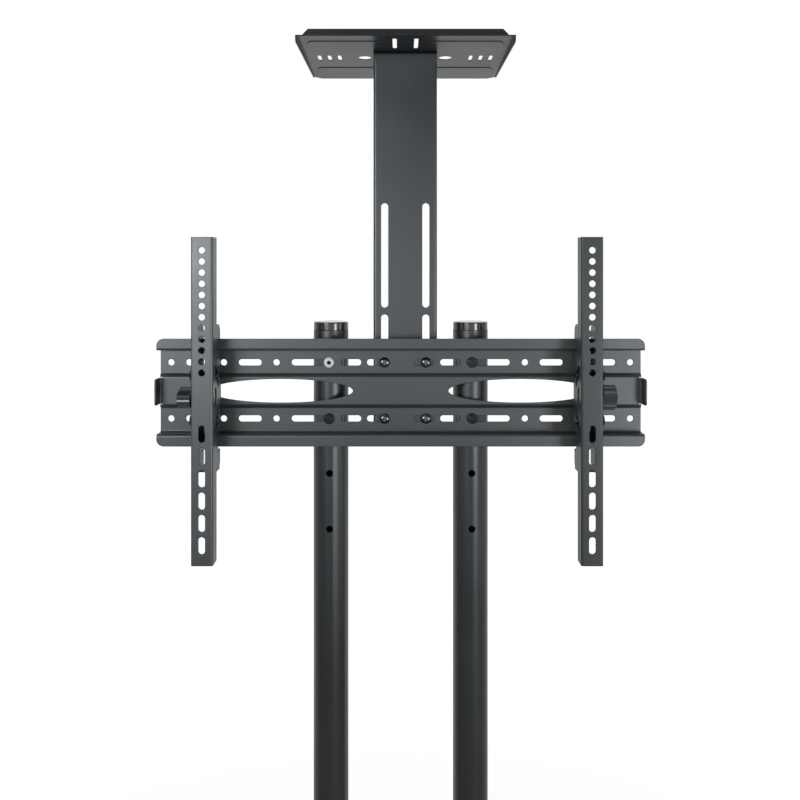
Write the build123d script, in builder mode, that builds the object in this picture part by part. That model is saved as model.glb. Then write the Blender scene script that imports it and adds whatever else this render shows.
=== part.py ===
"""Display floor stand: two tubular columns carry a slotted rail, two tilting screen arms and a camera shelf.

Millimetres. +X is the viewer's right, +Y points away from the screen side and +Z is up.
The origin is on the floor, under the middle of the whole stand.
"""
import os
from math import asin, cos, degrees, radians, sin

from build123d import *

os.makedirs("parts", exist_ok=True)

# Base
leg_length = 600.0
leg_width = 50.0
leg_height = 40.0
leg_spacing = 570.0
leg_corner = 4.0
tube_wall = 2.5
beam_depth = 80.0
beam_end_plate = 6.0
cap_flange = 3.0
cap_plug = 15.0
plug_clearance = 0.1
pad_radius = 22.0
pad_height = 8.0
pad_inset = 36.0
leg_bolt_pitch = 40.0
leg_bolt_radius = 5.0
leg_bolt_head = 8.8
leg_bolt_head_height = 5.5
tap_clearance = 0.05

# Columns
column_y = 60.0
column_spacing = 204.0
column_radius = 25.4
column_wall = 2.0
column_above_rail = 84.5
foot_plate_x = 92.0
foot_plate_y = 76.0
foot_plate_thickness = 6.0
foot_hole_x = 34.0
foot_hole_y = 27.0
foot_bolt_radius = 4.0
height_hole_radius = 5.0
height_hole_count = 4
column_cap_radius = 25.2
column_cap_height = 12.0
column_cap_edge = 1.5

# Mounting rail
rail_height = 1365.0
rail_length = 684.0
rail_sheet = 2.0
rail_edge = 75.5
flange_height = 58.6
hook_depth = 20.0
band_edge = 19.7
band_step_edge = 24.8
band_rise = 4.0
bend_radius = 1.5
lip_corner = 10.0
row_height = 40.0
rail_hole_radius = 4.5
hole_pitch = 37.5
end_hole_inset = 15.0
centre_slot = (33.0, 30.0)
second_slot = (70.9, 29.2)
column_slot = (126.2, 58.4)
outer_slot_length = 32.8
window_x = 170.0
window_half_length = 102.0
window_half_height = 16.8
tab_height = 37.0
tab_depth = 18.5
tab_corner = 5.0
tab_relief = 1.0
tab_root = 8.0
saddle_thickness = 4.6
saddle_width = 40.0
saddle_height = 26.0
saddle_depth = 13.0
saddle_clearance = 0.3

# Fasteners of the rail
bolt_radius = 4.0
nut_flats = 13.0
nut_thickness = 6.5
hex_head_height = 5.3
column_bolt_head = 6.5
column_bolt_head_height = 4.6
column_bolt_flange = 1.3
post_screw_head = 7.4
post_screw_head_height = 5.2
washer_radius = 8.0
washer_thickness = 1.6
slide_gap = 0.15

# Camera post and shelf
post_x = 6.5
post_width = 91.0
post_sheet = 2.5
post_flange = 12.0
post_top = 483.2
post_bottom = -60.0
post_slot_spacing = 58.8
post_slot_width = 10.0
post_slot_gap = 10.0
lower_slot_top = 108.0
upper_slot_top = 267.0
top_flange_depth = 62.0
shelf_bolt_x = 30.0
shelf_bolt_y = (16.0, 50.0)
shelf_bolt_radius = 2.5
shelf_screw_head = 4.6
shelf_screw_depth = 0.1
shelf_seat_clearance = 0.15
shelf_recess_depth = 1.2
shelf_nut_flats = 8.0
shelf_nut_thickness = 4.0
shelf_width = 294.0
shelf_sheet = 1.2
shelf_front = 73.3
shelf_back = 156.3
shelf_lip = 9.2
shelf_lip_chamfer = 7.0
shelf_lip_inset = 10.0
shelf_flange = 8.0
shelf_flange_back = 1.8
shelf_corner_x = 13.5
shelf_corner_y = 11.0
camera_slot_x = 14.7
camera_slot_y = -36.0
camera_slot_size = (48.0, 5.6)
strap_slot_first = 95.8
strap_slot_pitch = 14.7
strap_slot_y = 35.5
strap_slot_size = (26.0, 5.0)
cable_hole_x = 59.0
cable_hole_radius = 9.5
bead_width = 262.0
bead_return = 18.0
bead_corner = 8.0
bead_section = 3.6
bead_groove = 1.8
bead_relief = 0.8
bead_rows = (-46.8, 88.8)

# Screen arms
left_arm_inset = 74.3
right_arm_inset = 84.0
arm_top = 216.0
arm_bottom = -227.0
arm_width = 30.0
arm_sheet = 2.0
arm_depth = 22.0
arm_front = 62.0
arm_bend = 1.0
arm_hole_radius = 4.5
arm_hole_pitch = 15.0
arm_hole_count = 12
arm_first_hole = 198.0
arm_slot_count = 6
arm_slot_length = 23.0
tilt_limit = 12.0

# Tilt mechanism: the screen turns about an axis that lies in front of the arms
tilt_axis_front = 86.0
tilt_axis_z = -4.5
guide_radius = 58.0
guide_angle = 32.3
guide_slot_width = 9.0
guide_slot_spare = 1.5
clamp_radius = 42.0
clamp_angle = 2.6
ear_margin = 9.0
guide_shank_radius = 3.9
guide_head_radius = 6.3
guide_head_height = 2.6
flat_gap = 0.15

# Hook brackets
bracket_gap = 0.3
bracket_sheet = 2.5
bracket_top = 96.0
bracket_bottom = -108.0
bracket_back = 9.5
bracket_rest = 4.4
bracket_front = 50.0
bracket_front_top = 37.0
bracket_front_bottom = 35.5
bracket_front_half = 33.0
bracket_corner = 12.0
hook_clearance = 0.4
finger_chamfer = 1.2
lip_seat = 0.2
lock_tongue_back = 12.0
lock_screw_radius = 3.0
lock_screw_y = -19.0
lock_head_radius = 5.0
lock_head_height = 6.0

# Tilt knobs
knob_length = 20.5
knob_lobes = 2
knob_lobe_radius = 9.5
knob_lobe_centre = 9.0
knob_waist = 7.5
knob_dome = 5.0
knob_angles = {"left": -23.0, "right": 112.0}
thread_clearance = 0.08

# Places that follow from the sizes above
leg_middle = pad_height + leg_height / 2
leg_top = pad_height + leg_height
beam_length = leg_spacing - leg_width
column_bottom = leg_top + foot_plate_thickness
column_top = rail_height + column_above_rail
row_pitch = 2 * row_height
rail_back_y = column_y - column_radius - saddle_thickness
web_y = rail_back_y - rail_sheet
hook_y = web_y - hook_depth
rail_end = rail_length / 2
first_hole_x = rail_end - end_hole_inset - 4 * hole_pitch
left_arm_x = left_arm_inset - rail_end
right_arm_x = rail_end - right_arm_inset
arm_front_y = web_y - arm_front
arm_back_y = arm_front_y + arm_depth
tilt_axis_y = web_y - tilt_axis_front
tilt_axis_height = rail_height + tilt_axis_z
clamp_y = tilt_axis_y + clamp_radius * cos(radians(clamp_angle))
clamp_z = tilt_axis_height + clamp_radius * sin(radians(clamp_angle))
knob_radius = knob_lobe_centre + knob_lobe_radius
plate_outer = arm_width / 2 - arm_sheet - bracket_gap
plate_inner = plate_outer - bracket_sheet
shelf_underside = rail_height + post_top
SIDES = {"left": left_arm_x, "right": right_arm_x}


def finish(builder, name):
    """Labels a finished piece and writes it to its own file."""
    builder.part.label = name
    export_step(builder.part, f"parts/{name}.step")


def bent_path(points, radii, thickness):
    """The outline of a folded sheet: one side runs through the points, the other lies to their left."""
    with BuildLine() as outline:
        FilletPolyline(*points, radius=radii)
        offset(amount=thickness, side=Side.LEFT)
    return outline.edges()


def facing(x, y, z, direction):
    """A plane at a point, looking along a direction, with its own x axis level."""
    x_axis = (0, 1, 0) if direction[0] else (1, 0, 0)
    return Plane(origin=(x, y, z), x_dir=x_axis, z_dir=direction)


def turned_plane(seat):
    """The plane for a turned outline: its x axis is the radius and its y axis is the way the seat looks."""
    return Plane(origin=seat.origin, x_dir=seat.x_dir, z_dir=seat.x_dir.cross(seat.z_dir))


def polar(radius, angle):
    """A point of a sketch from its distance and its angle."""
    return Vector(radius * cos(radians(angle)), radius * sin(radians(angle)))


def draw_screw(seat, radius, length, head_radius, head_height, flange=0.0, flat_share=0.72, rim_share=0.44):
    """Adds a screw with a rounded head: the head stands on the seat and the shank runs back from it."""
    foot_radius = head_radius + flange
    crown = head_height * rim_share
    shoulder = head_radius * flat_share
    with BuildSketch(turned_plane(seat)) as outline:
        with BuildLine():
            Polyline((0, head_height), (0, -length), (radius, -length), (radius, 0), (foot_radius, 0))
            if flange:
                Polyline((foot_radius, 0), (foot_radius, flange), (head_radius, flange), (head_radius, crown))
            else:
                Line((foot_radius, 0), (head_radius, crown))
            ThreePointArc(
                (head_radius, crown),
                (head_radius - (head_radius - shoulder) * 0.3, head_height - (head_height - crown) * 0.3),
                (shoulder, head_height),
            )
            Line((shoulder, head_height), (0, head_height))
        make_face()
    revolve(outline.sketch, axis=Axis(seat.origin, seat.z_dir))


def draw_socket(seat, head_height, flats):
    """Cuts the hexagon socket of a screw whose head stands on the seat."""
    with BuildSketch(seat.offset(head_height)) as socket:
        RegularPolygon(radius=flats / 2, side_count=6, major_radius=False)
    extrude(socket.sketch, amount=-head_height * 0.6, mode=Mode.SUBTRACT)


def draw_flat_screw(seat, radius, length, head_radius):
    """Adds a countersunk screw whose flat head lies in the seat."""
    cone_height = head_radius - radius
    with BuildSketch(turned_plane(seat)) as outline:
        with BuildLine():
            Polyline((0, 0), (head_radius, 0), (radius, -cone_height))
            Polyline((radius, -cone_height), (radius, -length), (0, -length), (0, 0))
        make_face()
    revolve(outline.sketch, axis=Axis(seat.origin, seat.z_dir))


def draw_cross(face, across, depth):
    """Cuts a cross recess into the flat face of a screw head."""
    with BuildSketch(face) as recess:
        Rectangle(across, across * 0.22)
        Rectangle(across * 0.22, across)
    extrude(recess.sketch, amount=-depth, mode=Mode.SUBTRACT)


def draw_hex_screw(seat, radius, length, flats, head_height):
    """Adds a hexagon-head screw."""
    with BuildSketch(seat) as head:
        RegularPolygon(radius=flats / 2, side_count=6, major_radius=False)
    extrude(head.sketch, amount=head_height)
    with BuildSketch(seat) as shank:
        Circle(radius)
    extrude(shank.sketch, amount=-length)


def draw_nut(seat, flats, thickness, bore):
    """Adds a hexagon nut that lies on the seat."""
    with BuildSketch(seat) as outline:
        RegularPolygon(radius=flats / 2, side_count=6, major_radius=False)
        Circle(bore, mode=Mode.SUBTRACT)
    extrude(outline.sketch, amount=thickness)


def draw_washer(seat, radius, thickness, bore):
    """Adds a flat washer that lies on the seat."""
    with BuildSketch(seat) as outline:
        Circle(radius)
        Circle(bore, mode=Mode.SUBTRACT)
    extrude(outline.sketch, amount=thickness)


# Base: a cross beam between two legs
with BuildPart() as base_beam:
    with Locations((0, column_y, leg_middle)):
        Box(beam_length, beam_depth, leg_height)
    fillet(base_beam.edges().filter_by(Axis.X), leg_corner)
    with Locations((0, column_y, leg_middle)):
        Box(
            beam_length - 2 * beam_end_plate,
            beam_depth - 2 * tube_wall,
            leg_height - 2 * tube_wall,
            mode=Mode.SUBTRACT,
        )
    with BuildSketch(Plane.XY.offset(leg_top)):
        for side in (-1, 1):
            with Locations((side * column_spacing / 2, column_y)):
                with GridLocations(2 * foot_hole_x, 2 * foot_hole_y, 2, 2):
                    Circle(foot_bolt_radius + tap_clearance)
    extrude(amount=-tube_wall, mode=Mode.SUBTRACT)
    with BuildSketch(Plane.YZ.offset(-beam_length / 2)):
        with Locations((column_y, leg_middle)):
            with GridLocations(leg_bolt_pitch, 0, 2, 1):
                Circle(leg_bolt_radius + tap_clearance)
    extrude(amount=beam_length, mode=Mode.SUBTRACT)
finish(base_beam, "base_beam")

for side_name, side in (("left", -1), ("right", 1)):
    with BuildPart() as leg:
        with BuildSketch(Plane.XZ.offset(leg_length / 2)):
            with Locations((side * leg_spacing / 2, leg_middle)):
                RectangleRounded(leg_width, leg_height, leg_corner)
                RectangleRounded(
                    leg_width - 2 * tube_wall,
                    leg_height - 2 * tube_wall,
                    leg_corner - tube_wall,
                    mode=Mode.SUBTRACT,
                )
        extrude(amount=-leg_length)
        with BuildSketch(Plane.YZ.offset(side * leg_spacing / 2)):
            with Locations((column_y, leg_middle)):
                with GridLocations(leg_bolt_pitch, 0, 2, 1):
                    Circle(leg_bolt_radius + tap_clearance)
        extrude(amount=leg_width, both=True, mode=Mode.SUBTRACT)
    finish(leg, f"{side_name}_leg")

with BuildPart() as leg_bolts:
    for side in (-1, 1):
        for along in (-leg_bolt_pitch / 2, leg_bolt_pitch / 2):
            seat = facing(side * (leg_spacing + leg_width) / 2, column_y + along, leg_middle, (side, 0, 0))
            draw_screw(seat, leg_bolt_radius, leg_width + beam_end_plate, leg_bolt_head, leg_bolt_head_height)
            draw_socket(seat, leg_bolt_head_height, 6.0)
finish(leg_bolts, "leg_bolts")

with BuildPart() as leg_end_caps:
    for x in (-leg_spacing / 2, leg_spacing / 2):
        for end in (-1, 1):
            with BuildSketch(Plane.XZ.offset(-end * leg_length / 2)):
                with Locations((x, leg_middle)):
                    RectangleRounded(leg_width, leg_height, leg_corner)
            extrude(amount=-end * cap_flange)
            plug_x = leg_width - 2 * tube_wall - 2 * plug_clearance
            plug_z = leg_height - 2 * tube_wall - 2 * plug_clearance
            with BuildSketch(Plane.XZ.offset(-end * leg_length / 2)):
                with Locations((x, leg_middle)):
                    RectangleRounded(plug_x, plug_z, leg_corner - tube_wall)
                    Rectangle(plug_x - 2 * tube_wall, plug_z - 2 * tube_wall, mode=Mode.SUBTRACT)
            extrude(amount=end * cap_plug)
finish(leg_end_caps, "leg_end_caps")

with BuildPart() as foot_pads:
    for x in (-leg_spacing / 2, leg_spacing / 2):
        for y in (pad_inset - leg_length / 2, leg_length / 2 - pad_inset):
            with BuildSketch():
                with Locations((x, y)):
                    Circle(pad_radius)
            extrude(amount=pad_height, taper=6)
finish(foot_pads, "foot_pads")

# Columns with their welded foot plates
for side_name, side in (("left", -1), ("right", 1)):
    column_x = side * column_spacing / 2
    with BuildPart() as column:
        with BuildSketch(Plane.XY.offset(leg_top)):
            with Locations((column_x, column_y)):
                RectangleRounded(foot_plate_x, foot_plate_y, 6)
                with GridLocations(2 * foot_hole_x, 2 * foot_hole_y, 2, 2):
                    Circle(foot_bolt_radius + 0.5, mode=Mode.SUBTRACT)
        extrude(amount=foot_plate_thickness)
        with BuildSketch(Plane.XY.offset(column_bottom)):
            with Locations((column_x, column_y)):
                Circle(column_radius)
        extrude(amount=column_top - column_bottom)
        with BuildSketch(Plane.XY.offset(leg_top)):
            with Locations((column_x, column_y)):
                Circle(column_radius - column_wall)
        extrude(amount=column_top - leg_top, mode=Mode.SUBTRACT)
        with BuildSketch(Plane.XZ.offset(-column_y)):
            for level in range(height_hole_count):
                with Locations((column_x, rail_height + row_height - level * row_pitch)):
                    Circle(height_hole_radius)
        extrude(amount=2 * column_radius, both=True, mode=Mode.SUBTRACT)
    finish(column, f"{side_name}_column")

    with BuildPart() as column_cap:
        with BuildSketch(Plane.XY.offset(column_top)):
            with Locations((column_x, column_y)):
                Circle(column_cap_radius)
        extrude(amount=column_cap_height)
        fillet(column_cap.faces().sort_by(Axis.Z)[-1].edges(), column_cap_edge)
        with BuildSketch(Plane.XY.offset(column_top)):
            with Locations((column_x, column_y)):
                Circle(column_radius - column_wall - plug_clearance)
                Circle(column_radius - 2 * column_wall, mode=Mode.SUBTRACT)
        extrude(amount=-cap_plug)
    finish(column_cap, f"{side_name}_column_cap")

with BuildPart() as column_foot_bolts:
    for side in (-1, 1):
        for dx in (-foot_hole_x, foot_hole_x):
            for dy in (-foot_hole_y, foot_hole_y):
                x = side * column_spacing / 2 + dx
                seat = facing(x, column_y + dy, column_bottom, (0, 0, 1))
                shank = foot_plate_thickness + tube_wall + nut_thickness + 2
                draw_hex_screw(seat, foot_bolt_radius, shank, nut_flats, hex_head_height)
finish(column_foot_bolts, "column_foot_bolts")

with BuildPart() as column_foot_nuts:
    for side in (-1, 1):
        for dx in (-foot_hole_x, foot_hole_x):
            for dy in (-foot_hole_y, foot_hole_y):
                x = side * column_spacing / 2 + dx
                seat = facing(x, column_y + dy, leg_top - tube_wall, (0, 0, -1))
                draw_nut(seat, nut_flats, nut_thickness, foot_bolt_radius + tap_clearance)
finish(column_foot_nuts, "column_foot_nuts")

# Mounting rail: one folded sheet with a raised middle band and a hook along each edge
rail_section = [
    (hook_y, rail_height + rail_edge),
    (hook_y, rail_height + flange_height),
    (web_y, rail_height + flange_height),
    (web_y, rail_height + band_step_edge),
    (web_y - band_rise, rail_height + band_edge),
    (web_y - band_rise, rail_height - band_edge),
    (web_y, rail_height - band_step_edge),
    (web_y, rail_height - flange_height),
    (hook_y, rail_height - flange_height),
    (hook_y, rail_height - rail_edge),
]
outside = bend_radius + rail_sheet
inside = bend_radius
rail_radii = [outside, inside, inside, outside, outside, inside, inside, outside]
tab_edge = rail_end - outside
with BuildPart() as mounting_rail:
    with BuildSketch(Plane.YZ.offset(-rail_end)):
        make_face(bent_path(rail_section, rail_radii, rail_sheet))
    extrude(amount=rail_length)
    lip_edges = mounting_rail.edges().filter_by(Axis.Y)
    lip_ends = lip_edges.filter_by(lambda e: abs(e.center().Z - rail_height) > rail_edge - 0.1)
    fillet(lip_ends, lip_corner)
    for side in (-1, 1):
        with Locations((side * (rail_end - outside / 2), web_y - rail_sheet / 2, rail_height)):
            Box(outside, band_rise + 3 * rail_sheet, tab_height + 2 * tab_relief, mode=Mode.SUBTRACT)
        tab_points = [
            (side * (rail_end - tab_root), web_y - band_rise),
            (side * rail_end, web_y - band_rise),
            (side * rail_end, web_y - band_rise - tab_depth),
        ]
        with BuildSketch(Plane.XY.offset(rail_height - tab_height / 2)):
            if side > 0:
                make_face(bent_path(tab_points, [bend_radius], rail_sheet))
            else:
                make_face(bent_path(tab_points[::-1], [bend_radius], rail_sheet))
        extrude(amount=tab_height)
        tab_edges = mounting_rail.edges().filter_by(Axis.X)
        fillet(tab_edges.group_by(Axis.Y)[0].filter_by(lambda e: side * e.center().X > 0), tab_corner)
    with BuildSketch(Plane.XZ.offset(-web_y)):
        for side in (-1, 1):
            for row in (-row_height, row_height):
                for slot_x, slot_length in (centre_slot, second_slot, column_slot):
                    with Locations((side * slot_x, rail_height + row)):
                        SlotOverall(slot_length, 2 * rail_hole_radius)
                for step in (1, 3):
                    with Locations((side * (first_hole_x + step * hole_pitch), rail_height + row)):
                        SlotOverall(outer_slot_length, 2 * rail_hole_radius)
                for step in (0, 2, 4):
                    with Locations((side * (first_hole_x + step * hole_pitch), rail_height + row)):
                        Circle(rail_hole_radius)
            with Locations((side * window_x, rail_height)):
                Ellipse(window_half_length, window_half_height)
    extrude(amount=hook_depth / 2, both=True, mode=Mode.SUBTRACT)
finish(mounting_rail, "mounting_rail")

with BuildPart() as column_saddles:
    for side in (-1, 1):
        for row in (-row_height, row_height):
            with Locations((side * column_spacing / 2, rail_back_y + saddle_depth / 2, rail_height + row)):
                Box(saddle_width, saddle_depth, saddle_height)
            with BuildSketch(Plane.XY.offset(rail_height + row)):
                with Locations((side * column_spacing / 2, column_y)):
                    Circle(column_radius + saddle_clearance)
            extrude(amount=saddle_height, both=True, mode=Mode.SUBTRACT)
            with BuildSketch(Plane.XZ.offset(-column_y)):
                with Locations((side * column_spacing / 2, rail_height + row)):
                    Circle(bolt_radius + tap_clearance)
            extrude(amount=column_radius + saddle_depth, mode=Mode.SUBTRACT)
finish(column_saddles, "column_saddles")


def draw_column_bolt(side, row):
    """Adds a flanged socket screw that runs through the rail into a saddle."""
    seat = facing(side * column_spacing / 2, web_y, rail_height + row, (0, -1, 0))
    reach = rail_sheet + saddle_thickness - saddle_clearance
    head = (column_bolt_head, column_bolt_head_height, column_bolt_flange)
    draw_screw(seat, bolt_radius, reach, *head, flat_share=0.9, rim_share=0.8)
    draw_socket(seat, column_bolt_head_height, 5.0)


with BuildPart() as bright_column_bolt:
    draw_column_bolt(-1, row_height)
finish(bright_column_bolt, "bright_column_bolt")

with BuildPart() as column_bolts:
    draw_column_bolt(-1, -row_height)
    draw_column_bolt(1, row_height)
    draw_column_bolt(1, -row_height)
finish(column_bolts, "column_bolts")

# Camera post: a channel that slides on four screws of the rail
post_front_y = rail_back_y + slide_gap
post_back_y = post_front_y + post_sheet
with BuildPart() as camera_post:
    half = post_width / 2
    section = [
        (post_x - half, post_front_y + post_flange),
        (post_x - half, post_front_y),
        (post_x + half, post_front_y),
        (post_x + half, post_front_y + post_flange),
    ]
    with BuildSketch(Plane.XY.offset(rail_height + post_bottom)):
        make_face(bent_path(section, [bend_radius + post_sheet] * 2, post_sheet))
    extrude(amount=post_top - post_bottom - post_flange)
    top_section = [
        (post_front_y + top_flange_depth, rail_height + post_top),
        (post_front_y, rail_height + post_top),
        (post_front_y, rail_height + post_top - post_flange),
    ]
    with BuildSketch(Plane.YZ.offset(post_x - half)):
        make_face(bent_path(top_section, [bend_radius + post_sheet], post_sheet))
    extrude(amount=post_width)
    for side in (-1, 1):
        slot_x = post_x + side * post_slot_spacing / 2
        lower_slot_bottom = -row_height - post_slot_width / 2
        slots = (
            (lower_slot_bottom, lower_slot_top),
            (lower_slot_top + post_slot_gap, upper_slot_top),
        )
        for low, high in slots:
            with BuildSketch(Plane.XZ.offset(-post_front_y)):
                with Locations((slot_x, rail_height + (low + high) / 2)):
                    SlotOverall(high - low, post_slot_width, rotation=90)
            extrude(amount=-2 * post_sheet, mode=Mode.SUBTRACT)
    with BuildSketch(Plane.XY.offset(shelf_underside)):
        for y in shelf_bolt_y:
            flange_y = post_front_y + y
            with Locations((post_x - shelf_bolt_x, flange_y), (post_x + shelf_bolt_x, flange_y)):
                Circle(shelf_screw_head + shelf_screw_depth - shelf_sheet + 2 * shelf_seat_clearance)
    extrude(amount=-2 * post_sheet, mode=Mode.SUBTRACT)
finish(camera_post, "camera_post")

post_stack = rail_sheet + post_sheet + 2 * slide_gap
with BuildPart() as post_screws:
    for side in (-1, 1):
        for row in (-row_height, row_height):
            seat = facing(post_x + side * post_slot_spacing / 2, web_y, rail_height + row, (0, -1, 0))
            length = post_stack + washer_thickness + nut_thickness + 1.5
            head = (post_screw_head, post_screw_head_height)
            draw_screw(seat, bolt_radius, length, *head, flat_share=0.4, rim_share=0.15)
            draw_cross(seat.offset(post_screw_head_height), post_screw_head, post_screw_head_height * 0.6)
finish(post_screws, "post_screws")

with BuildPart() as post_washers:
    for side in (-1, 1):
        for row in (-row_height, row_height):
            x = post_x + side * post_slot_spacing / 2
            seat = facing(x, web_y + post_stack, rail_height + row, (0, 1, 0))
            draw_washer(seat, washer_radius, washer_thickness, bolt_radius + tap_clearance)
finish(post_washers, "post_washers")

with BuildPart() as post_nuts:
    for side in (-1, 1):
        for row in (-row_height, row_height):
            x = post_x + side * post_slot_spacing / 2
            seat = facing(x, web_y + post_stack + washer_thickness, rail_height + row, (0, 1, 0))
            draw_nut(seat, nut_flats, nut_thickness, bolt_radius + tap_clearance)
finish(post_nuts, "post_nuts")

# Camera shelf: a tray with a front lip, side flanges and two pressed beads
shelf_top = shelf_underside + shelf_sheet
shelf_front_y = web_y - shelf_front
shelf_back_y = web_y + shelf_back
shelf_half = shelf_width / 2
with BuildPart() as camera_shelf:
    with BuildSketch(Plane.XY.offset(shelf_underside)):
        with BuildLine():
            Polyline(
                (post_x - shelf_half, shelf_front_y),
                (post_x + shelf_half, shelf_front_y),
                (post_x + shelf_half, shelf_back_y - shelf_corner_y),
                (post_x + shelf_half - shelf_corner_x, shelf_back_y),
                (post_x - shelf_half + shelf_corner_x, shelf_back_y),
                (post_x - shelf_half, shelf_back_y - shelf_corner_y),
                close=True,
            )
        make_face()
    extrude(amount=shelf_sheet)
    with BuildSketch(Plane.XZ.offset(-shelf_front_y)):
        lip_half = shelf_half - shelf_lip_inset
        with BuildLine():
            Polyline(
                (post_x - lip_half, shelf_underside),
                (post_x + lip_half, shelf_underside),
                (post_x + lip_half, shelf_underside + shelf_lip - shelf_lip_chamfer),
                (post_x + lip_half - shelf_lip_chamfer, shelf_underside + shelf_lip),
                (post_x - lip_half + shelf_lip_chamfer, shelf_underside + shelf_lip),
                (post_x - lip_half, shelf_underside + shelf_lip - shelf_lip_chamfer),
                close=True,
            )
        make_face()
    extrude(amount=-shelf_sheet)
    bottom_front = camera_shelf.edges().filter_by(Axis.X).group_by(Axis.Z)[0].sort_by(Axis.Y)[0]
    fillet(bottom_front, shelf_sheet)
    for side in (-1, 1):
        with BuildSketch(Plane.YZ.offset(post_x + side * shelf_half)):
            with BuildLine():
                Polyline(
                    (shelf_front_y, shelf_top),
                    (shelf_front_y, shelf_underside - shelf_flange / 2),
                    (shelf_front_y + shelf_flange / 2, shelf_underside - shelf_flange),
                    (shelf_back_y - shelf_corner_y, shelf_underside - shelf_flange_back),
                    (shelf_back_y - shelf_corner_y, shelf_top),
                    close=True,
                )
            make_face()
        extrude(amount=-side * shelf_sheet)
    for row, y in enumerate(bead_rows):
        bead_points = [
            (post_x - bead_width / 2 - bead_corner / 2, web_y + y + bead_return),
            (post_x - bead_width / 2, web_y + y),
            (post_x + bead_width / 2, web_y + y),
            (post_x + bead_width / 2 + bead_corner / 2, web_y + y + bead_return),
        ]
        with BuildLine() as bead_path:
            FilletPolyline(*bead_points, radius=bead_corner)
        with BuildSketch(Plane.XY.offset(shelf_underside)):
            SlotArc(bead_path.wire(), bead_section)
        extrude(amount=-bead_relief)
        with BuildSketch(Plane.XY.offset(shelf_top)):
            SlotArc(bead_path.wire(), bead_groove)
        extrude(amount=-bead_relief, mode=Mode.SUBTRACT)
    with BuildSketch(Plane.XY.offset(shelf_underside)):
        for side in (-1, 1):
            with Locations((post_x + side * camera_slot_x, web_y + camera_slot_y)):
                SlotOverall(*camera_slot_size, rotation=90)
            with Locations((post_x + side * cable_hole_x, web_y + strap_slot_y)):
                Circle(cable_hole_radius)
            for step in range(3):
                strap_x = strap_slot_first + step * strap_slot_pitch
                with Locations((post_x + side * strap_x, web_y + strap_slot_y)):
                    SlotOverall(*strap_slot_size, rotation=90)
    extrude(amount=2 * bead_relief, both=True, mode=Mode.SUBTRACT)
    seat_radius = shelf_screw_head + shelf_screw_depth + shelf_seat_clearance
    for side in (-1, 1):
        for y in shelf_bolt_y:
            with Locations((post_x + side * shelf_bolt_x, post_front_y + y, shelf_underside + shelf_sheet / 2)):
                Cone(seat_radius - shelf_sheet, seat_radius, shelf_sheet, mode=Mode.SUBTRACT)
finish(camera_shelf, "camera_shelf")

with BuildPart() as shelf_screws:
    for side in (-1, 1):
        for y in shelf_bolt_y:
            x = post_x + side * shelf_bolt_x
            seat = facing(x, post_front_y + y, shelf_top - shelf_screw_depth, (0, 0, 1))
            length = shelf_sheet + post_sheet + shelf_nut_thickness + 1.5
            draw_flat_screw(seat, shelf_bolt_radius, length, shelf_screw_head)
            draw_cross(seat, shelf_screw_head, shelf_recess_depth)
finish(shelf_screws, "shelf_screws")

with BuildPart() as shelf_nuts:
    for side in (-1, 1):
        for y in shelf_bolt_y:
            x = post_x + side * shelf_bolt_x
            seat = facing(x, post_front_y + y, shelf_underside - post_sheet, (0, 0, -1))
            draw_nut(seat, shelf_nut_flats, shelf_nut_thickness, shelf_bolt_radius + tap_clearance)
finish(shelf_nuts, "shelf_nuts")


# Screen arms: folded channels with arc slots in their ears
def make_arm(arm_x):
    """One screen arm: a channel with screen holes in front and guide slots in its side ears."""
    half = arm_width / 2
    section = [
        (arm_x - half, arm_back_y),
        (arm_x - half, arm_front_y),
        (arm_x + half, arm_front_y),
        (arm_x + half, arm_back_y),
    ]
    with BuildPart() as arm:
        with BuildSketch(Plane.XY.offset(rail_height + arm_bottom)):
            make_face(bent_path(section, [arm_bend + arm_sheet] * 2, arm_sheet))
        extrude(amount=arm_top - arm_bottom)
        ear_radius = guide_radius + ear_margin
        for side in (-1, 1):
            with BuildSketch(Plane.YZ.offset(arm_x + side * half)):
                with Locations((tilt_axis_y, tilt_axis_height)):
                    Circle(ear_radius)
                with Locations((arm_back_y - arm_depth / 4 + ear_radius, tilt_axis_height)):
                    Rectangle(2 * ear_radius, 2 * ear_radius, mode=Mode.INTERSECT)
            extrude(amount=-side * arm_sheet)
        slot_half_angle = tilt_limit + degrees(asin(guide_slot_spare / guide_radius))
        arcs = [(guide_radius, guide_angle), (guide_radius, -guide_angle), (clamp_radius, clamp_angle)]
        for radius, angle in arcs:
            with BuildLine() as arc:
                centre = (tilt_axis_y, tilt_axis_height)
                CenterArc(centre, radius, angle - slot_half_angle, 2 * slot_half_angle)
            with BuildSketch(Plane.YZ.offset(arm_x)):
                SlotArc(arc.edge(), guide_slot_width)
            extrude(amount=arm_width, both=True, mode=Mode.SUBTRACT)
        with BuildSketch(Plane.XZ.offset(-arm_front_y)):
            for step in range(arm_hole_count):
                with Locations((arm_x, rail_height + arm_first_hole - step * arm_hole_pitch)):
                    Circle(arm_hole_radius)
            for step in range(arm_slot_count):
                slot_z = arm_first_hole - (arm_hole_count + 4.5 + 2 * step) * arm_hole_pitch
                with Locations((arm_x, rail_height + slot_z)):
                    SlotOverall(arm_slot_length, 2 * arm_hole_radius, rotation=90)
        extrude(amount=2 * arm_sheet, both=True, mode=Mode.SUBTRACT)
    return arm


def guide_place(angle):
    """Where a guide bolt crosses the arm, from its angle about the tilt axis."""
    y = tilt_axis_y + guide_radius * cos(radians(angle))
    z = tilt_axis_height + guide_radius * sin(radians(angle))
    return y, z


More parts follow.
